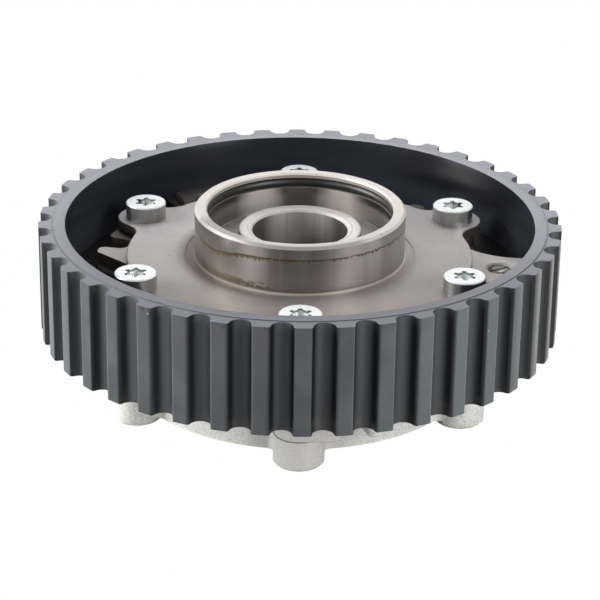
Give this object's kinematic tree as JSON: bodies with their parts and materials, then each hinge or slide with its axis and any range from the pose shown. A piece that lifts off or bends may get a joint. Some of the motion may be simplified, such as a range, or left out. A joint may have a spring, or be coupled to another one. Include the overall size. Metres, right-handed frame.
{
  "type": "cam phaser",
  "caption": "Belt-driven vane cam phaser: toothed pulley ring round a bolted stator, with a collared cover, a keyless rotor hub and a spring-loaded lock pin inside.",
  "frame": {"origin": "on the axis, in the plane of the front cover's boss feet", "axes": "+Z along the axis towards the camshaft (the collar's side), +X close to the pulley lobe on the right, -Y through the boss that faces the viewer in the picture"},
  "size_m": [0.1258, 0.126, 0.0454],
  "materials": {
    "pulley_steel": "satin",
    "cover_steel": "satin",
    "cast_aluminium": "satin",
    "rotor_steel": "satin",
    "black_rubber": "satin",
    "plug_steel": "satin",
    "zinc_screws": "satin",
    "hard_steel": "satin",
    "spring_steel": "satin",
    "seat_plastic": "matte",
    "seal_plastic": "matte"
  },
  "bodies": {
    "housing": {"belt_pulley": "pulley_steel", "stator": "cast_aluminium", "rear_cover": "cover_steel", "front_cover": "cast_aluminium", "collar_o_ring": "black_rubber", "centre_plug": "plug_steel", "plug_seal_ring": "black_rubber", "cover_screws": "zinc_screws", "pulley_screws": "zinc_screws", "stator_dowels": "hard_steel", "lock_insert": "hard_steel", "front_seal_ring": "black_rubber", "rear_seal_ring": "black_rubber", "shoe_seal_1": "seal_plastic", "shoe_seal_spring_1": "spring_steel", "shoe_seal_2": "seal_plastic", "shoe_seal_spring_2": "spring_steel", "shoe_seal_3": "seal_plastic", "shoe_seal_spring_3": "spring_steel", "shoe_seal_4": "seal_plastic", "shoe_seal_spring_4": "spring_steel"},
    "rotor": {"rotor": "rotor_steel", "spring_seat": "seat_plastic", "lock_pin_spring": "spring_steel", "vane_seal_1": "seal_plastic", "vane_seal_2": "seal_plastic", "vane_seal_3": "seal_plastic", "vane_seal_4": "seal_plastic", "vane_seal_spring_1": "spring_steel", "vane_seal_spring_2": "spring_steel", "vane_seal_spring_3": "spring_steel", "vane_seal_spring_4": "spring_steel"},
    "lock_pin": {"lock_pin": "hard_steel"}
  },
  "joints": [
    {"name": "rotor_turn", "type": "hinge", "parent": "housing", "child": "rotor", "pos_m": [0, 0, 0.0345], "axis": [0, 0, 1], "range_deg": [0, 25]},
    {"name": "lock_pin_slide", "type": "slide", "parent": "rotor", "child": "lock_pin", "axis": [0, 0, 1], "range_m": [0, 0.0036], "deforming": ["lock_pin_spring"]}
  ],
  "couplings": [
    {"joint": "lock_pin_slide", "follows": "rotor_turn", "m_per_rad": 0.00825}
  ]
}
